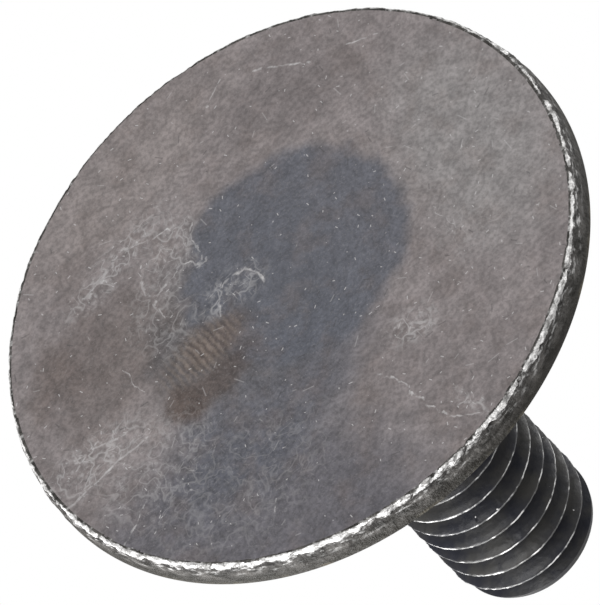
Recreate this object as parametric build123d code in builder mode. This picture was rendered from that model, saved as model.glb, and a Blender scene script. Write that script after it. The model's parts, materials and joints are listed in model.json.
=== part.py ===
from build123d import *
from math import cos, radians, tan
import os

os.makedirs("parts", exist_ok=True)

# Elevator bolt, 5/16-18 UNC x 1 in, flat countersunk head and square neck, in millimetres.
# It is cold headed and thread rolled from one steel blank, so it is one solid.
# It stands on its flat face: the centre of the face is the origin, the shank points up +Z.
inch = 25.4

# Overall length, from the flat face to the end of the point
bolt_length = 25.5

# Head: a thin disc whose rim leans out from the face, then a shallow cone up to the neck
face_diameter = 30.04
rim_overhang = 0.2          # how far the rim's back edge stands outside the face's edge
rim_swell = 0.04            # how far the rim's side bulges between its two edges
rim_height = 1.58
face_edge_radius = 0.15
back_edge_radius = 0.08
underside_angle = 10.0      # slope of the underside to the face

# Thread: unified coarse, right-hand, with flanks at 60 degrees to each other
thread_size = 7.9375        # nominal diameter, 5/16 in
threads_per_inch = 18
thread_allowance = 0.0775   # how far under nominal the crests measure, on the diameter

# Square neck that stops the bolt turning. A square hole that takes it lets the thread through.
neck_excess = 0.1625        # how much wider the square is across its flats than the thread's size
neck_corner_radius = 0.9
neck_depth = 4.4            # from the underside to the end of the square
neck_bevel_angle = 30.0     # slope of the cone at the end of the square
neck_root_radius = 0.4      # where the square meets the underside

# Shank: a short stretch of bare blank, then the thread, then the point
bare_length = 1.0           # between the neck and the thread
thread_start_angle = 45.0
point_length = 1.1          # the crests taper over this stretch
point_taper = 0.3           # how far the end of the point lies inside the crests
point_edge_radius = 0.2

face_radius = face_diameter / 2
rim_radius = face_radius + rim_overhang

# The thread is a cylinder over its crests here. The blank it is rolled from is as thick as
# its pitch line.
sharp_thread_depth = inch / threads_per_inch * cos(radians(30))
crest_radius = (thread_size - thread_allowance) / 2
blank_radius = crest_radius - sharp_thread_depth * 3 / 8
point_radius = crest_radius - point_taper

# The underside's cone reaches head_height where it would meet the flats of the neck.
neck_width = thread_size + neck_excess
head_height = rim_height + (rim_radius - neck_width / 2) * tan(radians(underside_angle))
neck_end = head_height + neck_depth
neck_bevel_reach = neck_width - blank_radius
thread_start = neck_end + bare_length
thread_full = thread_start + (crest_radius - blank_radius) / tan(radians(thread_start_angle))
point_start = bolt_length - point_length

with BuildPart() as elevator_bolt:
    # Head: face, swelling rim and conical underside, turned about Z.
    with BuildSketch(Plane.XZ):
        with BuildLine():
            Line((0, 0), (face_radius, 0))
            ThreePointArc(
                (face_radius, 0),
                ((face_radius + rim_radius) / 2 + rim_swell, rim_height / 2),
                (rim_radius, rim_height),
            )
            Polyline((rim_radius, rim_height), (neck_width / 2, head_height), (0, head_height), (0, 0))
        make_face()
    revolve(axis=Axis.Z)
    fillet(elevator_bolt.edges().group_by(Axis.Z)[0], face_edge_radius)
    fillet(elevator_bolt.edges().filter_by(GeomType.CIRCLE).sort_by(SortBy.RADIUS)[-1], back_edge_radius)

    # Square neck, with its corners rounded by the die. It starts inside the head.
    with BuildSketch(Plane.XY.offset(rim_height)):
        RectangleRounded(neck_width, neck_width, neck_corner_radius)
    extrude(amount=neck_end - rim_height)

    # The cone at the end of the square cuts its corners and flats back to the blank.
    with BuildSketch(Plane.XZ):
        with BuildLine():
            Polyline(
                (blank_radius, neck_end),
                (blank_radius + neck_bevel_reach, neck_end),
                (
                    blank_radius + neck_bevel_reach,
                    neck_end - neck_bevel_reach * tan(radians(neck_bevel_angle)),
                ),
                close=True,
            )
        make_face()
    revolve(axis=Axis.Z, mode=Mode.SUBTRACT)

    # Shank: bare blank, thread over its crests, and the tapered point.
    with BuildSketch(Plane.XZ):
        with BuildLine():
            Polyline(
                (0, rim_height),
                (blank_radius, rim_height),
                (blank_radius, thread_start),
                (crest_radius, thread_full),
                (crest_radius, point_start),
                (point_radius, bolt_length),
                (0, bolt_length),
                close=True,
            )
        make_face()
    revolve(axis=Axis.Z)
    fillet(elevator_bolt.edges().group_by(Axis.Z)[-1], point_edge_radius)

    # The forging radius where the flats and corners of the neck rise out of the underside.
    neck_root = elevator_bolt.edges().filter_by(
        lambda edge: rim_height < edge.center().Z < head_height + neck_root_radius
        and abs(edge.center().X) < neck_width
        and abs(edge.center().Y) < neck_width
    )
    fillet(neck_root, neck_root_radius)

elevator_bolt.part.label = "elevator_bolt"
export_step(elevator_bolt.part, "parts/elevator_bolt.step")
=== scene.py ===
import json
import math

import bpy
from mathutils import Matrix, Vector


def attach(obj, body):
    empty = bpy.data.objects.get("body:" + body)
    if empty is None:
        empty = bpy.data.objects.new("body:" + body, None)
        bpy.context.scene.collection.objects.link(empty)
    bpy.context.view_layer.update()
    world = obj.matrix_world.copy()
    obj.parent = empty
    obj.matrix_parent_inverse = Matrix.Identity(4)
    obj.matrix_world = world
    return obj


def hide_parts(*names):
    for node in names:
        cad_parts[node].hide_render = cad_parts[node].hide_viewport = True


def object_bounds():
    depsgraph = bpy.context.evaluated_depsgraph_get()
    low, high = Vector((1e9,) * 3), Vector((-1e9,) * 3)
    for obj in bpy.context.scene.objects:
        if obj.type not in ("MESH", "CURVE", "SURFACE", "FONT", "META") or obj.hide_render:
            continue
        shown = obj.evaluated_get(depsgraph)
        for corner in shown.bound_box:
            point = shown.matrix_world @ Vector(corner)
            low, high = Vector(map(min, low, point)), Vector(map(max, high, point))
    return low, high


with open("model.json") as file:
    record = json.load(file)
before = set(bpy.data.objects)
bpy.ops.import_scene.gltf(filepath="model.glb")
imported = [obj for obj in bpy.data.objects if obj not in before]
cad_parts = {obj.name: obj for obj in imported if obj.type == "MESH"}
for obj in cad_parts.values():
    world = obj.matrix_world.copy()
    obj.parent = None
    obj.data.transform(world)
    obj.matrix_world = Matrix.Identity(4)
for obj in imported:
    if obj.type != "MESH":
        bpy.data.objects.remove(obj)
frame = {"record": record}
cad_low, cad_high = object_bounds()

bpy.context.scene.view_settings.view_transform = "Standard"


# ---------------------------------------------------------------- Camera
# A long lens looks up at the flat face, 41.8 degrees off the shank's line. The camera is rolled
# so that the shank runs away towards the lower right.
camera_data = bpy.data.cameras.new("camera")
camera_data.lens = 595
camera_data.sensor_width = 36
camera_data.clip_start = 0.02
camera_data.clip_end = 20
camera = bpy.data.objects.new("camera", camera_data)
bpy.context.scene.collection.objects.link(camera)
bpy.context.scene.camera = camera

view_off_shank = math.radians(41.77)
shank_below_level = math.radians(46.01)
camera_distance = 0.4706
face_left_of_middle = 0.000636
face_above_middle = 0.000941
turn = (
    Matrix.Rotation(math.pi - view_off_shank, 4, "X")
    @ Matrix.Rotation(math.pi / 2 + shank_below_level, 4, "Z")
)
stand_off = Vector((face_left_of_middle, -face_above_middle, camera_distance))
camera.matrix_world = Matrix.Translation(turn @ stand_off) @ turn


# ---------------------------------------------------------------- Floor and light
# A pale floor that is seen from above only: the bolt stands on its face, and the camera looks up
# at that face through the floor. Only camera rays see the floor, so it shades nothing from below.
bpy.ops.mesh.primitive_plane_add(size=8, location=(0, 0, cad_low.z - 0.00002))
floor = bpy.context.object
floor.name = "floor"
floor.visible_diffuse = False
floor.visible_glossy = False
floor.visible_transmission = False
floor.visible_shadow = False

floor_paint = bpy.data.materials.new("floor_paint")
floor_paint.use_nodes = True
nodes, links = floor_paint.node_tree.nodes, floor_paint.node_tree.links
paint = nodes["Principled BSDF"]
paint.inputs["Base Color"].default_value = (0.84, 0.84, 0.84, 1)
paint.inputs["Roughness"].default_value = 0.9
paint.inputs["Specular IOR Level"].default_value = 0.1
clear = nodes.new("ShaderNodeBsdfTransparent")
side = nodes.new("ShaderNodeNewGeometry")
either = nodes.new("ShaderNodeMixShader")
links.new(side.outputs["Backfacing"], either.inputs[0])
links.new(paint.outputs[0], either.inputs[1])
links.new(clear.outputs[0], either.inputs[2])
links.new(either.outputs[0], nodes["Material Output"].inputs["Surface"])
floor.data.materials.append(floor_paint)

# White surroundings for what is seen or looked through, and dimmer ones for mirroring and fill.
world = bpy.data.worlds.new("surroundings")
world.use_nodes = True
bpy.context.scene.world = world
nodes, links = world.node_tree.nodes, world.node_tree.links
fill_level = 0.55
mirror_level = 0.5
path = nodes.new("ShaderNodeLightPath")
seen = nodes.new("ShaderNodeMath")
seen.operation = "MAXIMUM"
links.new(path.outputs["Is Camera Ray"], seen.inputs[0])
links.new(path.outputs["Is Transmission Ray"], seen.inputs[1])
mirrored = nodes.new("ShaderNodeMapRange")
mirrored.inputs["To Min"].default_value = fill_level
mirrored.inputs["To Max"].default_value = mirror_level
links.new(path.outputs["Is Glossy Ray"], mirrored.inputs["Value"])
level = nodes.new("ShaderNodeMapRange")
level.inputs["To Max"].default_value = 1.0
links.new(seen.outputs[0], level.inputs["Value"])
links.new(mirrored.outputs["Result"], level.inputs["To Min"])
links.new(level.outputs["Result"], nodes["Background"].inputs["Strength"])
nodes["Background"].inputs["Color"].default_value = (1, 1, 1, 1)


def soft_light(name, place, size, power):
    """A square soft box that points at the middle of the bolt."""
    data = bpy.data.lights.new(name, "AREA")
    data.size = size
    data.energy = power
    lamp = bpy.data.objects.new(name, data)
    bpy.context.scene.collection.objects.link(lamp)
    aim = (cad_low + cad_high) / 2 - Vector(place)
    lamp.matrix_world = Matrix.Translation(place) @ aim.to_track_quat("-Z", "Y").to_matrix().to_4x4()


soft_light("face_key", (0.25, -0.20, -0.45), 0.30, 1.95)
soft_light("top_key", (0.32, -0.20, 0.45), 0.30, 1.4)
soft_light("back_card", (0.36, -0.06, 0.42), 0.35, 1.0)
soft_light("right_card", (0.48, -0.20, 0.02), 0.35, 4.2)
soft_light("left_card", (-0.50, 0.10, -0.02), 0.35, 1.8)


# ---------------------------------------------------------------- Bolt: head
# The bolt is one cold-headed, thread-rolled piece of plain steel. Its head is a thin disc, turned
# here from an outline: flat face, worn edge, swelling rim, and a shallow cone up to the neck.
MM = 0.001


def lathe(name, outline, steps):
    """Extrudes one vertex along an outline of (radius, height) in mm and spins it about Z."""
    bpy.ops.object.select_all(action="DESELECT")
    bpy.ops.mesh.primitive_plane_add(size=MM, location=(0, 0, 0))
    piece = bpy.context.object
    piece.name = name
    bpy.ops.object.mode_set(mode="EDIT")
    bpy.ops.mesh.select_mode(type="VERT")
    bpy.ops.mesh.select_all(action="SELECT")
    bpy.ops.mesh.merge(type="CENTER")
    bpy.ops.transform.translate(value=(outline[0][0] * MM, 0, outline[0][1] * MM))
    for (r0, z0), (r1, z1) in zip(outline, outline[1:]):
        bpy.ops.mesh.extrude_vertices_move(
            TRANSFORM_OT_translate={"value": ((r1 - r0) * MM, 0, (z1 - z0) * MM)}
        )
    bpy.ops.mesh.select_all(action="SELECT")
    bpy.ops.mesh.spin(steps=steps, angle=2 * math.pi, center=(0, 0, 0), axis=(0, 0, 1))
    bpy.ops.mesh.select_all(action="SELECT")
    bpy.ops.mesh.remove_doubles(threshold=1e-7)
    bpy.ops.mesh.normals_make_consistent(inside=False)
    bpy.ops.object.mode_set(mode="OBJECT")
    return piece


def corner(centre, radius, start, end, steps):
    """Points of an arc in the outline's plane, with its angles in degrees."""
    turns = [math.radians(start + (end - start) * i / steps) for i in range(steps + 1)]
    return [(centre[0] + radius * math.cos(t), centre[1] + radius * math.sin(t)) for t in turns]


mounts = {m["name"]: m for m in frame["record"]["mounts"]}
bolt_length = cad_high.z / MM
rim_radius = cad_high.x / MM
rim_height = 1.58
edge_radius = 0.15
back_edge_radius = 0.08
rim_overhang = 0.2
rim_swell = 0.04
face_radius = rim_radius - rim_overhang
neck_half = 4.05
underside_slope = math.tan(math.radians(10))
head_height = rim_height + (rim_radius - neck_half) * underside_slope
face_height = 0.03

head_outline = [(r, face_height) for r in (0, 9, 13.2, 14.0, 14.3, 14.45)]
head_outline += [(14.55, 0.027), (14.63, 0.020), (14.70, 0.012), (14.76, 0.006), (14.82, 0.001)]
head_outline += corner((face_radius - edge_radius, edge_radius), edge_radius, -90, 0, 6)
head_outline += [
    (
        face_radius + rim_overhang * t + rim_swell * 4 * t * (1 - t),
        edge_radius + (rim_height - 0.1 - edge_radius) * t,
    )
    for t in (0.07, 0.14, 0.21, 0.28, 0.35, 0.42, 0.49, 0.56, 0.64, 0.72, 0.8, 0.88, 0.95)
]
head_outline += corner(
    (rim_radius - back_edge_radius, rim_height - back_edge_radius), back_edge_radius, 0, 80, 3
)
head_outline += [
    (r, rim_height + (rim_radius - r) * underside_slope) for r in (14.6, 13.0, 10.0, 7.0, 5.0, 3.0)
]
head_outline += [(0, head_outline[-1][1])]
head = lathe("head", head_outline, 1024)

# The rim was upset a little out of round.
out_of_round = 0.9954
bpy.ops.object.select_all(action="DESELECT")
head.select_set(True)
bpy.ops.transform.resize(value=(1, out_of_round, 1), center_override=(0, 0, 0))
bpy.ops.object.transform_apply(location=False, rotation=False, scale=True)


def ramp(value, low, high):
    """Rises smoothly from 0 at low to 1 at high."""
    t = min(max((value - low) / (high - low), 0), 1)
    return t * t * (3 - 2 * t)


def roughen(piece, name, grain, strength, weights):
    """Moves a weighted part of a surface in and out by a cloudy unevenness, in mm."""
    clouds = bpy.data.textures.new(name, "CLOUDS")
    clouds.noise_scale = grain * MM
    clouds.noise_depth = 2
    chosen = piece.vertex_groups.new(name=name)
    for index, weight in weights.items():
        chosen.add([index], weight, "REPLACE")
    bpy.ops.object.select_all(action="DESELECT")
    bpy.context.view_layer.objects.active = piece
    piece.select_set(True)
    wander = piece.modifiers.new(name, "DISPLACE")
    wander.texture = clouds
    wander.texture_coords = "LOCAL"
    wander.vertex_group = chosen.name
    wander.strength = strength * MM
    wander.mid_level = 0.5
    bpy.ops.object.modifier_apply(modifier=wander.name)
    piece.vertex_groups.clear()


# The blow that flattened the head left a torn burr where the face meets the rim. It is heaviest
# on the -Y half and fades out round the other side.
burr_weights = {}
side_weights = {}
for vertex in head.data.vertices:
    r, z = vertex.co.xy.length / MM, vertex.co.z / MM
    if r > 14.4 and z < rim_height:
        heavy = 0.35 + 0.65 * ramp(-vertex.co.y / MM, -6, 5)
        burr_weights[vertex.index] = heavy * ramp(r, 14.5, 14.85) * ramp(-z, -0.75, -0.1)
        side_weights[vertex.index] = ramp(z, 0.1, 0.5) * ramp(-z, -1.5, -1.2)
roughen(head, "burr", 0.7, 0.36, burr_weights)
roughen(head, "torn_burr", 0.22, 0.17, burr_weights)
roughen(head, "rim_scale", 0.9, 0.16, side_weights)
roughen(head, "rim_pits", 0.2, 0.09, side_weights)

# Nicks knocked into the rim: where round the rim in degrees, height, reach and depth in mm.
for nick_angle, nick_height, reach, depth in (
    (-98.6, 0.46, 0.42, 0.26),
    (-104.0, 0.20, 0.30, 0.12),
    (-141.0, 0.30, 0.35, 0.12),
    (-24.0, 0.22, 0.30, 0.12),
    (-66.0, 0.75, 0.30, 0.10),
    (63.0, 0.20, 0.35, 0.10),
):
    t = math.radians(nick_angle)
    outward = Vector((math.cos(t), math.sin(t), 0))
    heart = outward * rim_radius * MM + Vector((0, 0, nick_height * MM))
    for vertex in head.data.vertices:
        fade = 1 - ramp((vertex.co - heart).length / MM, reach * 0.35, reach)
        vertex.co -= outward * depth * MM * fade
for vertex in head.data.vertices:
    vertex.co.z = max(vertex.co.z, 0)
    r = vertex.co.xy.length
    if r > rim_radius * MM:
        vertex.co.xy *= rim_radius * MM / r


# ---------------------------------------------------------------- Bolt: square neck
# Forged under the head: a square with rounded corners, flared at its root and cut back by the
# die's 30 degree cone at its end.
neck_depth = 4.4
neck_end = head_height + neck_depth
neck_corner_radius = 0.9
root_radius_of_neck = 0.4
crest_radius = mounts["threaded_shank"]["dims"]["r_mm"]
crest_above_blank = 0.4583
blank_radius = crest_radius - crest_above_blank

bpy.ops.object.select_all(action="DESELECT")
bpy.ops.mesh.primitive_cube_add(size=2 * neck_half * MM, location=(0, 0, 0))
neck = bpy.context.object
neck.name = "neck"
bpy.ops.object.mode_set(mode="EDIT")
bpy.ops.mesh.select_mode(type="EDGE")
bpy.ops.mesh.select_all(action="DESELECT")
bpy.ops.object.mode_set(mode="OBJECT")
for edge in neck.data.edges:
    a, b = (neck.data.vertices[i].co for i in edge.vertices)
    edge.select = abs(a.z - b.z) > neck_half * MM
bpy.ops.object.mode_set(mode="EDIT")
bpy.ops.mesh.bevel(offset=neck_corner_radius * MM, segments=8, affect="EDGES")
bpy.ops.object.mode_set(mode="OBJECT")
flare_start = head_height + 0.34
for vertex in neck.data.vertices:
    vertex.co.z = (neck_end if vertex.co.z > 0 else flare_start) * MM
bpy.ops.object.mode_set(mode="EDIT")
bpy.ops.mesh.select_mode(type="FACE")
bpy.ops.mesh.select_all(action="DESELECT")
bpy.ops.object.mode_set(mode="OBJECT")
for face in neck.data.polygons:
    face.select = face.normal.z < -0.5
bpy.ops.object.mode_set(mode="EDIT")
flare = [
    (
        root_radius_of_neck * (1 - math.cos(math.radians(t))),
        -root_radius_of_neck * math.sin(math.radians(t)),
    )
    for t in (0, 20, 40, 60, 80)
]
flare += [(0.45, -0.45), (0.6, -1.0)]
for (out0, z0), (out1, z1) in zip(flare, flare[1:]):
    bpy.ops.mesh.extrude_region_move(TRANSFORM_OT_translate={"value": (0, 0, (z1 - z0) * MM)})
    wider = (neck_half + out1) / (neck_half + out0)
    bpy.ops.transform.resize(value=(wider, wider, 1), center_override=(0, 0, 0))
bpy.ops.mesh.select_all(action="SELECT")
bpy.ops.mesh.normals_make_consistent(inside=False)
bpy.ops.object.mode_set(mode="OBJECT")
# The flare follows the cone down under the corners.
for vertex in neck.data.vertices:
    if vertex.co.z < (head_height + 0.35) * MM:
        reach = vertex.co.xy.length - neck_half * MM
        vertex.co.z -= reach * underside_slope


def combine(piece, other, operation):
    """Applies one boolean to a piece and throws the other solid away."""
    bpy.ops.object.select_all(action="DESELECT")
    bpy.context.view_layer.objects.active = piece
    piece.select_set(True)
    cut = piece.modifiers.new("combine", "BOOLEAN")
    cut.operation = operation
    cut.solver = "EXACT"
    cut.object = other
    bpy.ops.object.modifier_apply(modifier=cut.name)
    bpy.data.objects.remove(other)


bevel_slope = math.tan(math.radians(30))
die_radius = 9
die = lathe(
    "die",
    [
        (0, 0),
        (die_radius, 0),
        (die_radius, neck_end - (die_radius - blank_radius) * bevel_slope),
        (blank_radius, neck_end),
        (0, neck_end),
    ],
    192,
)
combine(neck, die, "INTERSECT")


# ---------------------------------------------------------------- Bolt: thread
# Right-hand 5/16-18 thread, rolled between flat dies, so its crests stand outside the blank. It
# runs out over the bare blank and is tapered away at the point.
inch = 25.4
threads_per_inch = 18
pitch = inch / threads_per_inch
sharp_depth = pitch * math.cos(math.radians(30))
thread_root = crest_radius - sharp_depth * 17 / 24
bare_length = 1.0
thread_start = neck_end + bare_length
point_length = 1.1
point_start = bolt_length - point_length
point_taper = 0.3
crest_flat = pitch / 8
flank = math.tan(math.radians(30))
flank_run = (crest_radius - thread_root) * flank
tooth = [
    (thread_root, 0),
    (thread_root + 0.02, 0.05),
    (thread_root + 0.13, 0.05 + 0.13 * flank),
    (crest_radius - 0.35, flank_run - 0.35 * flank),
    (crest_radius - 0.04, flank_run - 0.04 * flank),
    (crest_radius, flank_run + 0.03),
    (crest_radius, flank_run + crest_flat - 0.03),
    (crest_radius - 0.04, flank_run + crest_flat + 0.04 * flank),
    (crest_radius - 0.35, flank_run + crest_flat + 0.35 * flank),
    (thread_root + 0.13, 2 * flank_run + crest_flat - 0.05 - 0.13 * flank),
    (thread_root + 0.02, 2 * flank_run + crest_flat - 0.05),
    (thread_root, 2 * flank_run + crest_flat),
    (thread_root, pitch),
]
turns = 14
crest_on_x = 14.17
thread_low = crest_on_x - flank_run - crest_flat / 2 - 5 * pitch

bpy.ops.object.select_all(action="DESELECT")
bpy.ops.mesh.primitive_plane_add(size=MM, location=(0, 0, 0))
thread = bpy.context.object
thread.name = "thread"
bpy.ops.object.mode_set(mode="EDIT")
bpy.ops.mesh.select_mode(type="VERT")
bpy.ops.mesh.select_all(action="SELECT")
bpy.ops.mesh.merge(type="CENTER")
bpy.ops.transform.translate(value=(tooth[0][0] * MM, 0, thread_low * MM))
for (r0, z0), (r1, z1) in zip(tooth, tooth[1:]):
    bpy.ops.mesh.extrude_vertices_move(
        TRANSFORM_OT_translate={"value": ((r1 - r0) * MM, 0, (z1 - z0) * MM)}
    )
bpy.ops.object.mode_set(mode="OBJECT")
winding = thread.modifiers.new("winding", "SCREW")
winding.angle = 2 * math.pi
winding.screw_offset = pitch * MM
winding.iterations = turns
winding.steps = 200
winding.render_steps = 200
bpy.ops.object.modifier_apply(modifier=winding.name)
bpy.ops.object.mode_set(mode="EDIT")
bpy.ops.mesh.select_all(action="SELECT")
bpy.ops.mesh.remove_doubles(threshold=2e-6)
for height, below in ((thread_start - 0.3, True), (bolt_length + 0.2, False)):
    bpy.ops.mesh.select_all(action="SELECT")
    bpy.ops.mesh.bisect(
        plane_co=(0, 0, height * MM),
        plane_no=(0, 0, 1),
        use_fill=True,
        clear_inner=below,
        clear_outer=not below,
        threshold=1e-8,
    )
bpy.ops.mesh.select_all(action="SELECT")
bpy.ops.mesh.normals_make_consistent(inside=False)
bpy.ops.object.mode_set(mode="OBJECT")

# Knocks along the crests
crest_weights = {}
for vertex in thread.data.vertices:
    crest_weights[vertex.index] = ramp(vertex.co.xy.length / MM, crest_radius - 0.3, crest_radius)
roughen(thread, "knocks", 0.5, 0.06, crest_weights)
roughen(thread, "small_knocks", 0.16, 0.07, crest_weights)

envelope = lathe(
    "envelope",
    [
        (0, thread_start - 0.1),
        (blank_radius - 0.1, thread_start - 0.1),
        (crest_radius + 0.1, thread_start + crest_radius - blank_radius + 0.1),
        (crest_radius + 0.1, point_start - 0.1 * point_length / point_taper),
        (crest_radius - 0.8 * point_taper, bolt_length - 0.2),
        (crest_radius - point_taper - 0.02, bolt_length - 0.06),
        (crest_radius - point_taper - 0.12, bolt_length),
        (0, bolt_length),
    ],
    192,
)
combine(thread, envelope, "INTERSECT")
blank = lathe(
    "blank",
    [
        (0, head_height - 0.5),
        (blank_radius, head_height - 0.5),
        (blank_radius, thread_start),
        (thread_root - 0.1, thread_start + 0.8),
        (0, thread_start + 0.8),
    ],
    192,
)

bolt = head
combine(bolt, neck, "UNION")
combine(bolt, blank, "UNION")
combine(bolt, thread, "UNION")
bolt.name = "elevator_bolt_steel"
bpy.ops.object.select_all(action="DESELECT")
bpy.context.view_layer.objects.active = bolt
bolt.select_set(True)
bpy.ops.object.shade_smooth_by_angle(angle=math.radians(35))


# ---------------------------------------------------------------- Finish: what all the steel shares
# Plain steel under dark forging oxide and a film of oil. Every place on it is given in
# millimetres from the middle of the face. The small effects here feed all four finishes.
def add(tree, kind, inputs=None, **settings):
    """Adds a node, sets it up, and links or sets its inputs."""
    node = tree.nodes.new("ShaderNode" + kind)
    for label, value in settings.items():
        setattr(node, label, value)
    for label, source in (inputs or {}).items():
        if isinstance(source, bpy.types.NodeSocket):
            tree.links.new(source, node.inputs[label])
        else:
            node.inputs[label].default_value = source
    return node


def calc(tree, operation, *values):
    """One sum, product or comparison of masks."""
    return add(tree, "Math", dict(enumerate(values)), operation=operation).outputs[0]


def rise(tree, value, low, high):
    """A mask that rises smoothly from 0 at low to 1 at high."""
    inputs = {"Value": value, "From Min": low, "From Max": high}
    return add(tree, "MapRange", inputs, interpolation_type="SMOOTHSTEP").outputs["Result"]


def blend(tree, mask, under, over):
    """One colour laid over another through a mask."""
    return add(tree, "Mix", {0: mask, 6: under, 7: over}, data_type="RGBA").outputs[2]


def vector(tree, operation, value, inputs, output=0):
    """One step of arithmetic on a place or a direction."""
    return add(tree, "VectorMath", {0: value, **inputs}, operation=operation).outputs[output]


def effect(name, inputs, outputs):
    """Starts a shared shader group with named sockets."""
    tree = bpy.data.node_groups.new(name, "ShaderNodeTree")
    for label, kind, value in inputs:
        socket = tree.interface.new_socket(label, in_out="INPUT", socket_type="NodeSocket" + kind)
        socket.default_value = value
    for label, kind in outputs:
        tree.interface.new_socket(label, in_out="OUTPUT", socket_type="NodeSocket" + kind)
    return tree, tree.nodes.new("NodeGroupInput").outputs, tree.nodes.new("NodeGroupOutput").inputs


def use(tree, group, **inputs):
    """Uses a shared group. Underscores stand for the spaces in its sockets' names."""
    inputs = {label.replace("_", " "): value for label, value in inputs.items()}
    return add(tree, "Group", inputs, node_tree=group)


# Where a point is on the bolt
place_on_bolt, given, result = effect(
    "place_on_bolt",
    [],
    [
        ("Point", "Vector"), ("Radius", "Float"), ("Height", "Float"),
        ("Drift", "Vector"), ("Gaps", "Float"), ("Around", "Vector"),
    ],
)
local = add(place_on_bolt, "TexCoord").outputs["Object"]
millimetres = vector(place_on_bolt, "SCALE", local, {"Scale": 1000.0})
parts = add(place_on_bolt, "SeparateXYZ", {0: millimetres})
across = {"X": parts.outputs["X"], "Y": parts.outputs["Y"]}
flat = add(place_on_bolt, "CombineXYZ", across).outputs[0]
place_on_bolt.links.new(millimetres, result["Point"])
place_on_bolt.links.new(vector(place_on_bolt, "LENGTH", flat, {}, "Value"), result["Radius"])
place_on_bolt.links.new(parts.outputs["Z"], result["Height"])
swirl = {"Vector": millimetres, "Scale": 0.6, "Detail": 5.0}
wander = add(place_on_bolt, "TexNoise", swirl).outputs["Color"]
wander = vector(place_on_bolt, "SUBTRACT", wander, {1: (0.5, 0.5, 0.5)})
place_on_bolt.links.new(wander, result["Drift"])
# Rubbing and tearing run round the rim, so this place is drawn out along its edge.
drawn_out = 15 * 0.4
bearing = calc(place_on_bolt, "ARCTAN2", parts.outputs["Y"], parts.outputs["X"])
around = {"X": calc(place_on_bolt, "MULTIPLY", bearing, drawn_out), "Y": parts.outputs["Z"]}
place_on_bolt.links.new(add(place_on_bolt, "CombineXYZ", around).outputs[0], result["Around"])
skips = {"Vector": millimetres, "Scale": 2.6, "Detail": 3.0}
gaps = add(place_on_bolt, "TexNoise", skips).outputs["Fac"]
place_on_bolt.links.new(gaps, result["Gaps"])

# Blotches: cloudy unevenness spread between two limits
blotches, given, result = effect(
    "blotches",
    [
        ("Point", "Vector", (0, 0, 0)), ("Per Millimetre", "Float", 1), ("Detail", "Float", 4),
        ("Low", "Float", 0.4), ("High", "Float", 0.6),
    ],
    [("Mask", "Float")],
)
size = {"Scale": given["Per Millimetre"], "Detail": given["Detail"], "Roughness": 0.6}
cloud = add(blotches, "TexNoise", {"Vector": given["Point"], **size}).outputs["Fac"]
blotches.links.new(rise(blotches, cloud, given["Low"], given["High"]), result["Mask"])

# An oval patch with a wandering edge, for stains, scuffed areas and the painted reflection on the face
oval_patch, given, result = effect(
    "oval_patch",
    [
        ("Point", "Vector", (0, 0, 0)), ("Drift", "Vector", (0, 0, 0)), ("Middle", "Vector", (0, 0, 0)),
        ("Half Size", "Vector", (1, 1, 1)), ("Turn", "Float", 0), ("Softness", "Float", 0.3),
        ("Wander", "Float", 0.6),
    ],
    [("Mask", "Float")],
)
drift = vector(oval_patch, "SCALE", given["Drift"], {"Scale": given["Wander"]})
moved = vector(oval_patch, "ADD", given["Point"], {1: drift})
moved = vector(oval_patch, "SUBTRACT", moved, {1: given["Middle"]})
back = calc(oval_patch, "MULTIPLY", given["Turn"], -1.0)
moved = add(oval_patch, "VectorRotate", {"Vector": moved, "Angle": back}, rotation_type="Z_AXIS").outputs[0]
moved = vector(oval_patch, "DIVIDE", moved, {1: given["Half Size"]})
moved = vector(oval_patch, "MULTIPLY", moved, {1: (1, 1, 0)})
reach = vector(oval_patch, "LENGTH", moved, {}, "Value")
inner = calc(oval_patch, "SUBTRACT", 1.0, given["Softness"])
outer = calc(oval_patch, "ADD", 1.0, given["Softness"])
outside = rise(oval_patch, reach, inner, outer)
oval_patch.links.new(calc(oval_patch, "SUBTRACT", 1.0, outside), result["Mask"])

# A scratch: a broken line from one place to another
scratch, given, result = effect(
    "scratch",
    [
        ("Point", "Vector", (0, 0, 0)), ("Drift", "Vector", (0, 0, 0)), ("Gaps", "Float", 0.5),
        ("Start", "Vector", (0, 0, 0)), ("Run", "Vector", (1, 0, 0)), ("Width", "Float", 0.05),
        ("Shake", "Float", 0.4), ("Breaks", "Float", 0.5),
    ],
    [("Mask", "Float")],
)
shake = vector(scratch, "SCALE", given["Drift"], {"Scale": given["Shake"]})
spot = vector(scratch, "ADD", given["Point"], {1: shake})
spot = vector(scratch, "SUBTRACT", spot, {1: given["Start"]})
spot = vector(scratch, "MULTIPLY", spot, {1: (1, 1, 0)})
along = vector(scratch, "DOT_PRODUCT", spot, {1: given["Run"]}, "Value")
full = vector(scratch, "DOT_PRODUCT", given["Run"], {1: given["Run"]}, "Value")
share = add(scratch, "Clamp", {"Value": calc(scratch, "DIVIDE", along, full)}).outputs[0]
foot = vector(scratch, "SCALE", given["Run"], {"Scale": share})
away = vector(scratch, "DISTANCE", spot, {1: foot}, "Value")
core = calc(scratch, "MULTIPLY", given["Width"], 0.3)
line = calc(scratch, "SUBTRACT", 1.0, rise(scratch, away, core, given["Width"]))
break_softness = 0.08
open_low = calc(scratch, "SUBTRACT", given["Breaks"], break_softness)
open_high = calc(scratch, "ADD", given["Breaks"], break_softness)
gaps = rise(scratch, given["Gaps"], open_low, open_high)
scratch.links.new(calc(scratch, "MULTIPLY", line, gaps), result["Mask"])

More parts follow.
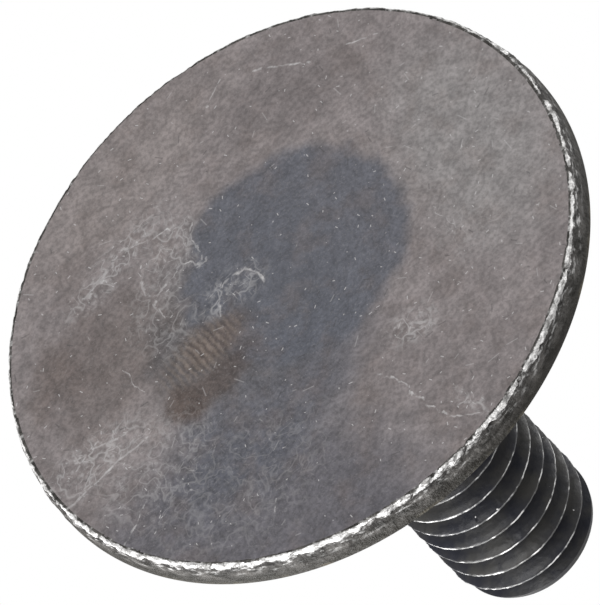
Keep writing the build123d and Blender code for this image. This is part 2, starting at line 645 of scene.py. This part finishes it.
# Ticks: short knocks scattered at every angle, at most one to a cell
ticks, given, result = effect(
    "ticks",
    [
        ("Point", "Vector", (0, 0, 0)), ("Cells Per Millimetre", "Float", 1), ("Length", "Float", 0.3),
        ("Width", "Float", 0.04), ("Share", "Float", 0.3),
    ],
    [("Mask", "Float")],
)
cells = add(ticks, "TexVoronoi", {"Vector": given["Point"], "Scale": given["Cells Per Millimetre"]})
chance = add(ticks, "SeparateColor", {0: cells.outputs["Color"]})
offset = vector(ticks, "SUBTRACT", given["Point"], {1: cells.outputs["Position"]})
full_turn = 6.283
angle = calc(ticks, "MULTIPLY", chance.outputs[0], full_turn)
offset = add(ticks, "VectorRotate", {"Vector": offset, "Angle": angle}, rotation_type="Z_AXIS").outputs[0]
offset = add(ticks, "SeparateXYZ", {0: offset})
half = calc(ticks, "MULTIPLY", calc(ticks, "MULTIPLY", given["Length"], 0.5), chance.outputs[1])
long_way = calc(ticks, "LESS_THAN", calc(ticks, "ABSOLUTE", offset.outputs["X"]), half)
width = calc(ticks, "ABSOLUTE", offset.outputs["Y"])
sharp_part = calc(ticks, "MULTIPLY", given["Width"], 0.2)
thin = calc(ticks, "SUBTRACT", 1.0, rise(ticks, width, sharp_part, given["Width"]))
here = calc(ticks, "LESS_THAN", chance.outputs[2], given["Share"])
ticks.links.new(calc(ticks, "MULTIPLY", calc(ticks, "MULTIPLY", long_way, thin), here), result["Mask"])

# Scuffed veins: thin wandering lines where something hard was dragged about
veins, given, result = effect(
    "veins",
    [("Point", "Vector", (0, 0, 0)), ("Per Millimetre", "Float", 0.8), ("Width", "Float", 0.02)],
    [("Mask", "Float")],
)
size = {"Scale": given["Per Millimetre"], "Detail": 2.5, "Roughness": 0.6, "Distortion": 0.3}
web = add(veins, "TexNoise", {"Vector": given["Point"], **size}).outputs["Fac"]
near = calc(veins, "ABSOLUTE", calc(veins, "SUBTRACT", web, 0.5))
veins.links.new(calc(veins, "SUBTRACT", 1.0, rise(veins, near, 0.0, given["Width"])), result["Mask"])

# Bare steel showing through the oxide, and painted highlights: the same near-white steel is also laid where
# glints stand on the burr's lip, the rim's flecks and the thread's crests
bare_steel_and_highlight, given, result = effect(
    "bare_steel_and_highlight",
    [("Wear", "Float", 0), ("Color", "Color", (0.1, 0.1, 0.1, 1)), ("Roughness", "Float", 0.5)],
    [("Color", "Color"), ("Roughness", "Float"), ("Metallic", "Float")],
)
steel_and_highlight_white = (0.86, 0.85, 0.84, 1)
bare_steel_and_highlight.links.new(blend(bare_steel_and_highlight, given["Wear"], given["Color"], steel_and_highlight_white), result["Color"])
shine = add(bare_steel_and_highlight, "Mix", {0: given["Wear"], 2: given["Roughness"], 3: 0.45}).outputs[0]
bare_steel_and_highlight.links.new(shine, result["Roughness"])
bare_steel_and_highlight.links.new(calc(bare_steel_and_highlight, "MULTIPLY", given["Wear"], 0.35), result["Metallic"])


def steel_finish(name):
    """Starts a finish and returns it with its tree, its shader and the place on the bolt."""
    material = bpy.data.materials.new(name)
    material.use_nodes = True
    tree = material.node_tree
    return material, tree, tree.nodes["Principled BSDF"], use(tree, place_on_bolt)


def lay_wear_and_highlight(tree, shader, wear_and_highlight, colour, roughness):
    """Feeds a finish's colour, its worn-through bare steel and its painted highlights to its shader."""
    shown = use(tree, bare_steel_and_highlight, Wear=wear_and_highlight, Color=colour, Roughness=roughness)
    tree.links.new(shown.outputs["Color"], shader.inputs["Base Color"])
    tree.links.new(shown.outputs["Roughness"], shader.inputs["Roughness"])
    tree.links.new(shown.outputs["Metallic"], shader.inputs["Metallic"])


def bump(tree, shader, height, distance):
    """Fine relief under the geometry's own, in mm."""
    relief = add(tree, "Bump", {"Height": height, "Distance": distance * MM, "Strength": 1.0})
    tree.links.new(relief.outputs[0], shader.inputs["Normal"])


# ---------------------------------------------------------------- Finish: flat face
# The face is warm grey scale with a painted reflection, a bluish dark patch over its middle, brown stains
# beside it, and pale scuffs from loose packing with other bolts.
face_finish, tree, shader, spot = steel_finish("face_scale")
point, drift, gaps = spot.outputs["Point"], spot.outputs["Drift"], spot.outputs["Gaps"]
around = spot.outputs["Around"]
broad = use(tree, blotches, Point=point, Per_Millimetre=0.16, Detail=3.0, Low=0.38, High=0.62).outputs[0]
small = use(tree, blotches, Point=point, Per_Millimetre=1.1, Detail=4.0, Low=0.3, High=0.7).outputs[0]
colour = blend(tree, broad, (0.190, 0.167, 0.167, 1), (0.230, 0.204, 0.203, 1))
# Painted reflection: the dark bluish entries at (9.5, -10.5), (4.5, -4.5), (1.8, 1.2) and (-1.2, 1.0) make
# the patch over the middle; the others are stains
stains_and_reflection = (
    # middle, half size, turn, softness, wander, strength, colour
    ((-11.0, -1.5), (3.5, 6.0), 10, 0.6, 2.0, 0.8, (0.252, 0.240, 0.238)),
    ((2.5, 12.0), (6.5, 2.6), -5, 0.6, 2.5, 0.5, (0.250, 0.218, 0.208)),
    ((9.5, -10.5), (9.0, 6.5), 35, 0.35, 3.0, 0.85, (0.090, 0.088, 0.104)),
    ((4.5, -4.5), (6.5, 3.6), -15, 0.45, 2.0, 0.85, (0.078, 0.082, 0.102)),
    ((1.8, 1.2), (5.0, 5.2), 0, 0.4, 2.0, 0.6, (0.104, 0.101, 0.106)),
    ((-1.2, 1.0), (5.9, 6.0), -20, 0.08, 1.6, 0.88, (0.090, 0.096, 0.118)),
    ((8.2, 4.2), (3.8, 2.8), -30, 0.6, 5.0, 0.5, (0.090, 0.068, 0.060)),
    ((11.0, 6.0), (1.9, 1.4), -50, 0.6, 5.0, 0.42, (0.092, 0.066, 0.056)),
    ((6.3, 0.9), (1.6, 2.6), 20, 0.5, 3.5, 0.66, (0.064, 0.060, 0.064)),
    ((7.4, -1.3), (0.9, 1.2), 10, 0.5, 1.5, 0.8, (0.070, 0.046, 0.036)),
    ((4.4, 0.6), (1.9, 1.1), 5, 0.5, 1.5, 0.75, (0.088, 0.062, 0.050)),
    ((5.2, -1.3), (2.0, 0.8), 0, 0.5, 1.5, 0.75, (0.066, 0.048, 0.042)),
    ((-6.0, 8.5), (3.5, 1.6), 30, 0.7, 3.5, 0.4, (0.140, 0.122, 0.122)),
)
for middle, half_size, turned, softness, wander, strength, tint in stains_and_reflection:
    mask = use(
        tree, oval_patch, Point=point, Drift=drift, Middle=(*middle, 0), Half_Size=(*half_size, 1),
        Turn=math.radians(turned), Softness=softness, Wander=wander,
    ).outputs[0]
    colour = blend(tree, calc(tree, "MULTIPLY", mask, strength), colour, (*tint, 1))

# Rubbed streaks cross the brown stains, and grain and dark pinholes cover everything.
ripple = {"Scale": 0.9, "Distortion": 3.5, "Detail": 4.0, "Detail Scale": 2.0}
streaks = add(tree, "TexWave", {"Vector": point, **ripple})
streaky = use(
    tree, oval_patch, Point=point, Drift=drift, Middle=(5.2, 0.6, 0), Half_Size=(2.2, 1.1, 1), Softness=0.5
).outputs[0]
streaky = calc(tree, "MULTIPLY", calc(tree, "MULTIPLY", streaky, streaks.outputs["Fac"]), 0.6)
colour = blend(tree, streaky, colour, (0.21, 0.17, 0.145, 1))
grain = use(tree, blotches, Point=point, Per_Millimetre=4.5, Detail=3.0, Low=0.35, High=0.68).outputs[0]
fine = use(tree, blotches, Point=point, Per_Millimetre=11.0, Detail=2.0, Low=0.52, High=0.72).outputs[0]
warm = use(tree, blotches, Point=point, Per_Millimetre=0.45, Detail=5.0, Low=0.46, High=0.66).outputs[0]
colour = blend(tree, calc(tree, "MULTIPLY", warm, 0.30), colour, (0.140, 0.110, 0.100, 1))
tone = calc(tree, "MULTIPLY_ADD", small, 0.34, 0.82)
tone = calc(tree, "MULTIPLY", tone, calc(tree, "MULTIPLY_ADD", grain, -0.30, 1.0))
colour = vector(tree, "SCALE", colour, {"Scale": tone})
colour = blend(tree, calc(tree, "MULTIPLY", fine, 0.14), colour, (0.34, 0.33, 0.33, 1))

# Scuffs: hairlines and a crumbling haze, dragged in patches. Scratches cross them.
pale = 0.0
scuffs = (
    # middle, half size, turn, strength
    ((5.2, 8.5), (3.4, 0.9), -8, 0.8),
    ((3.0, 6.6), (2.2, 1.3), -40, 0.8),
    ((2.3, 2.2), (1.9, 1.0), 10, 0.8),
    ((5.4, 3.8), (1.6, 2.4), 20, 0.55),
    ((12.4, 0.3), (2.8, 1.4), 5, 0.9),
    ((10.5, -3.0), (3.4, 3.0), 20, 0.5),
    ((-2.9, -7.4), (1.2, 1.0), 30, 0.9),
    ((-2.3, -13.4), (0.35, 1.4), 0, 0.9),
    ((-8.0, -5.5), (2.0, 1.8), 0, 0.3),
    ((8.0, -7.0), (5.0, 3.5), 20, 0.3),
)
web = use(tree, veins, Point=point, Per_Millimetre=0.62, Width=0.032).outputs[0]
hair = use(tree, ticks, Point=point, Cells_Per_Millimetre=2.4, Length=0.7, Width=0.035, Share=0.75).outputs[0]
haze = use(tree, blotches, Point=point, Per_Millimetre=2.4, Detail=6.0, Low=0.45, High=0.75).outputs[0]
hair = calc(tree, "MULTIPLY", hair, calc(tree, "MULTIPLY_ADD", haze, 0.8, 0.3))
dragged = calc(tree, "MAXIMUM", calc(tree, "MULTIPLY", web, 0.5), calc(tree, "MULTIPLY", haze, 0.5))
dragged = calc(tree, "MAXIMUM", dragged, hair)
for middle, half_size, turned, strength in scuffs:
    mask = use(
        tree, oval_patch, Point=point, Drift=drift, Middle=(*middle, 0), Half_Size=(*half_size, 1),
        Turn=math.radians(turned), Softness=0.5, Wander=1.5,
    ).outputs[0]
    mask = calc(tree, "MULTIPLY", mask, dragged)
    pale = calc(tree, "MAXIMUM", pale, calc(tree, "MULTIPLY", mask, strength))
scratches = (
    # start, run, width, shake, breaks
    ((-8.1, 9.3), (2.2, 1.9), 0.09, 0.8, 0.46),
    ((-4.4, 12.4), (1.3, -0.8), 0.06, 0.8, 0.48),
    ((-1.9, -14.2), (1.3, 2.6), 0.08, 2.1, 0.44),
    ((-0.6, -11.6), (0.5, 4.0), 0.07, 2.1, 0.48),
    ((9.8, -0.9), (5.0, 0.2), 0.08, 0.8, 0.42),
    ((10.4, 0.2), (3.0, 1.2), 0.10, 1.0, 0.44),
    ((11.4, 1.2), (2.0, -0.5), 0.07, 1.0, 0.44),
    ((-7.6, -4.6), (0.3, 1.4), 0.06, 2.1, 0.44),
    ((8.4, 3.4), (0.2, -2.2), 0.05, 2.1, 0.44),
    ((11.8, -3.8), (2.2, -1.2), 0.06, 0.8, 0.48),
    ((7.3, -9.2), (0.8, -1.3), 0.05, 0.8, 0.48),
    ((-11.3, 7.4), (1.4, 0.9), 0.05, 0.8, 0.46),
    ((0.7, 1.2), (0.2, 1.5), 0.10, 1.6, 0.42),
    ((0.9, 2.7), (1.7, 0.0), 0.11, 2.1, 0.42),
    ((2.6, 2.7), (0.7, -1.2), 0.10, 2.1, 0.42),
    ((1.2, 7.0), (1.4, -2.0), 0.12, 3.1, 0.44),
    ((2.0, 5.2), (3.0, 0.4), 0.12, 3.6, 0.44),
    ((2.2, 7.6), (2.0, 1.2), 0.11, 2.6, 0.43),
    ((4.0, 8.8), (3.4, -0.7), 0.14, 2.6, 0.43),
    ((4.6, 7.6), (0.6, -2.6), 0.10, 3.1, 0.45),
    ((5.0, 5.6), (0.4, -2.2), 0.09, 2.6, 0.46),
)
crumbled = calc(tree, "MULTIPLY_ADD", haze, 0.7, 0.36)
for start, run, line_width, shake, breaks in scratches:
    mask = use(
        tree, scratch, Point=point, Drift=drift, Gaps=gaps, Start=(*start, 0), Run=(*run, 0),
        Width=line_width, Shake=shake, Breaks=breaks,
    ).outputs[0]
    pale = calc(tree, "MAXIMUM", pale, calc(tree, "MULTIPLY", mask, crumbled))

# Ticks knocked in anywhere: a few long, many short, and some with dirt in them
few = use(tree, ticks, Point=point, Cells_Per_Millimetre=0.9, Length=0.7, Width=0.045, Share=0.16).outputs[0]
many = use(tree, ticks, Point=point, Cells_Per_Millimetre=2.2, Length=0.2, Width=0.035, Share=0.14).outputs[0]
pale = calc(tree, "MAXIMUM", pale, calc(tree, "MULTIPLY", few, 0.28))
pale = calc(tree, "MAXIMUM", pale, calc(tree, "MULTIPLY", many, 0.8))
colour = blend(tree, pale, colour, (0.46, 0.45, 0.45, 1))
dark = use(tree, ticks, Point=point, Cells_Per_Millimetre=1.3, Length=0.5, Width=0.05, Share=0.12).outputs[0]
colour = blend(tree, calc(tree, "MULTIPLY", dark, 0.45), colour, (0.035, 0.033, 0.034, 1))

# A painted highlight: the burr's torn lip is laid with near-white steel where it glints. It is widest towards
# -Y and a thin ragged line elsewhere.
lip_highlight, given, result = effect(
    "lip_highlight",
    [
        ("Point", "Vector", (0, 0, 0)), ("Around", "Vector", (0, 0, 0)),
        ("Radius", "Float", 0), ("Height", "Float", 0),
    ],
    [("Mask", "Float")],
)
tears = {"Vector": given["Around"], "Scale": 2.6, "Detail": 5.0, "Roughness": 0.7}
ragged = add(lip_highlight, "TexNoise", tears).outputs["Fac"]
heaviest_side = (0.34, -0.94, 0)
outward = vector(lip_highlight, "DOT_PRODUCT", given["Point"], {1: heaviest_side}, "Value")
heavy = rise(lip_highlight, outward, 1.0, 13.5)
wide = calc(lip_highlight, "MULTIPLY_ADD", heavy, 0.025, 0.015)
lip_radius = 15.12
inner_edge = calc(lip_highlight, "SUBTRACT", lip_radius, calc(lip_highlight, "MULTIPLY_ADD", ragged, 0.45, wide))
inside = rise(lip_highlight, given["Radius"], inner_edge, calc(lip_highlight, "ADD", inner_edge, 0.05))
under_lip = calc(lip_highlight, "MULTIPLY_ADD", ragged, 0.9, calc(lip_highlight, "MULTIPLY_ADD", heavy, 0.16, -0.38))
above = calc(lip_highlight, "SUBTRACT", 1.0, rise(lip_highlight, given["Height"], under_lip, calc(lip_highlight, "ADD", under_lip, 0.08)))
torn = given["Around"]
highlight_breakup = use(lip_highlight, blotches, Point=torn, Per_Millimetre=5.0, Detail=5.0, Low=0.36, High=0.60).outputs[0]
highlight_breakup = calc(lip_highlight, "MULTIPLY_ADD", highlight_breakup, 0.75, 0.20)
lip_highlight.links.new(calc(lip_highlight, "MULTIPLY", calc(lip_highlight, "MULTIPLY", inside, above), highlight_breakup), result["Mask"])

radius, height = spot.outputs["Radius"], spot.outputs["Height"]
# Painted highlight along the burr's lip
edge = use(tree, lip_highlight, Point=point, Around=around, Radius=radius, Height=height).outputs[0]
gloss = add(tree, "Mix", {0: small, 2: 0.42, 3: 0.58}).outputs[0]
lay_wear_and_highlight(tree, shader, edge, colour, gloss)
bump(tree, shader, small, 0.012)


# ---------------------------------------------------------------- Finish: rim
# The rim's side is coarse torn scale, black-brown towards the back, with a thin yellow-brown film of dried
# oil along the back edge. Bright flecks near the burr and the glint on its lip are painted highlights, and a
# dark band low on the side is painted shade.
rim_finish, tree, shader, spot = steel_finish("rim_scale")
shader.inputs["Specular IOR Level"].default_value = 0.15
point, around = spot.outputs["Point"], spot.outputs["Around"]
radius, height = spot.outputs["Radius"], spot.outputs["Height"]
coarse = use(tree, blotches, Point=around, Per_Millimetre=2.2, Detail=6.0, Low=0.35, High=0.65).outputs[0]
colour = blend(tree, coarse, (0.018, 0.017, 0.015, 1), (0.090, 0.085, 0.080, 1))
back_side = rise(tree, height, 0.7, 1.35)
colour = blend(tree, calc(tree, "MULTIPLY", back_side, 0.8), colour, (0.026, 0.024, 0.020, 1))
film = use(tree, blotches, Point=point, Per_Millimetre=0.5, Detail=5.0, Low=0.45, High=0.65).outputs[0]
oil = calc(tree, "MULTIPLY", calc(tree, "MULTIPLY", film, rise(tree, height, 1.25, 1.52)), 0.45)
colour = blend(tree, calc(tree, "MULTIPLY", oil, coarse), colour, (0.26, 0.225, 0.15, 1))
# Painted shade: a dark band 0.12 to 0.6 mm up the rim's side stands for the shade of a groove; the mesh has
# no groove there
groove_shade = calc(tree, "SUBTRACT", rise(tree, height, 0.12, 0.25), rise(tree, height, 0.35, 0.6))
colour = blend(tree, calc(tree, "MULTIPLY", groove_shade, 0.4), colour, (0.030, 0.028, 0.028, 1))
# Painted highlights: near-white flecks near the burr and the glint along the burr's lip, laid on as bare
# steel
fleck_highlight_mask = use(tree, blotches, Point=around, Per_Millimetre=4.5, Detail=5.0, Low=0.50, High=0.72).outputs[0]
near_lip = calc(tree, "SUBTRACT", 1.0, rise(tree, height, 0.4, 1.0))
fleck_highlights = calc(tree, "MULTIPLY", calc(tree, "MULTIPLY", fleck_highlight_mask, near_lip), 0.6)
edge = use(tree, lip_highlight, Point=point, Around=around, Radius=radius, Height=height).outputs[0]
lay_wear_and_highlight(tree, shader, calc(tree, "MAXIMUM", edge, fleck_highlights), colour, 0.5)
pits = use(tree, blotches, Point=point, Per_Millimetre=4.0, Detail=4.0, Low=0.3, High=0.7).outputs[0]
bump(tree, shader, pits, 0.05)


# ---------------------------------------------------------------- Finish: underside and neck
# Smooth black die scale that the underside and the square neck keep from forging. Nothing has
# rubbed the neck, and the underside has a few short knocks.
neck_finish, tree, shader, spot = steel_finish("die_scale")
point = spot.outputs["Point"]
broad = use(tree, blotches, Point=point, Per_Millimetre=0.3, Detail=4.0, Low=0.35, High=0.65).outputs[0]
colour = blend(tree, broad, (0.060, 0.056, 0.058, 1), (0.110, 0.101, 0.100, 1))
grain = use(tree, blotches, Point=point, Per_Millimetre=4.0, Detail=4.0, Low=0.35, High=0.68).outputs[0]
colour = blend(tree, calc(tree, "MULTIPLY", grain, 0.35), colour, (0.030, 0.029, 0.031, 1))
knocks = use(
    tree, ticks, Point=point, Cells_Per_Millimetre=0.9, Length=0.9, Width=0.05, Share=0.08
).outputs[0]
on_neck = rise(tree, spot.outputs["Height"], head_height, head_height + 0.3)
below_neck = calc(tree, "SUBTRACT", 1.0, on_neck)
knocks = calc(tree, "MULTIPLY", calc(tree, "MULTIPLY", knocks, below_neck), 0.2)
lay_wear_and_highlight(tree, shader, knocks, colour, 0.45)
bump(tree, shader, grain, 0.015)


# ---------------------------------------------------------------- Finish: thread
# Rolled flanks are smooth and black with oil. A thin broken line of near-white steel along the sharp crests
# is a painted highlight.
thread_finish, tree, shader, spot = steel_finish("oiled_thread")
shader.inputs["Specular IOR Level"].default_value = 0.28
point = spot.outputs["Point"]
broad = use(tree, blotches, Point=point, Per_Millimetre=0.35, Detail=4.0, Low=0.35, High=0.65).outputs[0]
colour = blend(tree, broad, (0.010, 0.011, 0.017, 1), (0.034, 0.033, 0.031, 1))
specks = use(
    tree, ticks, Point=point, Cells_Per_Millimetre=1.6, Length=0.12, Width=0.04, Share=0.05
).outputs[0]
# Painted highlight: a thin broken bright line along each crest of the helix
sides = add(tree, "SeparateXYZ", {0: point})
bearing = calc(tree, "ARCTAN2", sides.outputs["Y"], sides.outputs["X"])
climb = calc(tree, "MULTIPLY", bearing, pitch / math.tau)
from_crest = calc(tree, "SUBTRACT", calc(tree, "SUBTRACT", sides.outputs["Z"], crest_on_x), climb)
from_crest = calc(tree, "ABSOLUTE", calc(tree, "WRAP", from_crest, pitch / 2, -pitch / 2))
crest_highlight = calc(tree, "SUBTRACT", 1.0, rise(tree, from_crest, 0.02, 0.065))
full_height = rise(tree, spot.outputs["Radius"], crest_radius - 0.12, crest_radius - 0.05)
broken = use(tree, blotches, Point=point, Per_Millimetre=1.2, Detail=6.0, Low=0.45, High=0.62).outputs[0]
line = calc(tree, "MULTIPLY", crest_highlight, calc(tree, "MULTIPLY_ADD", broken, 0.85, 0.08))
line = calc(tree, "MULTIPLY", line, full_height)
lay_wear_and_highlight(tree, shader, calc(tree, "MAXIMUM", line, specks), colour, 0.36)
grain = use(tree, blotches, Point=point, Per_Millimetre=3.0, Detail=5.0, Low=0.3, High=0.7).outputs[0]
bump(tree, shader, grain, 0.008)


# ---------------------------------------------------------------- Bolt: which finish goes where
# Face, rim, underside with neck, and thread are told apart by their place on the bolt. All four
# finishes lie on the one piece of steel.
bolt.data.materials.clear()
for finish in (face_finish, rim_finish, neck_finish, thread_finish):
    bolt.data.materials.append(finish)
worn_edge_radius = 14.78
rim_inner_radius = 14.7
for face in bolt.data.polygons:
    r, z = face.center.xy.length / MM, face.center.z / MM
    if z < 0.2 and r < worn_edge_radius:
        face.material_index = 0
    elif r > rim_inner_radius:
        face.material_index = 1
    elif z < thread_start - 0.2:
        face.material_index = 2
    else:
        face.material_index = 3

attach(bolt, "root")
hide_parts("elevator_bolt")
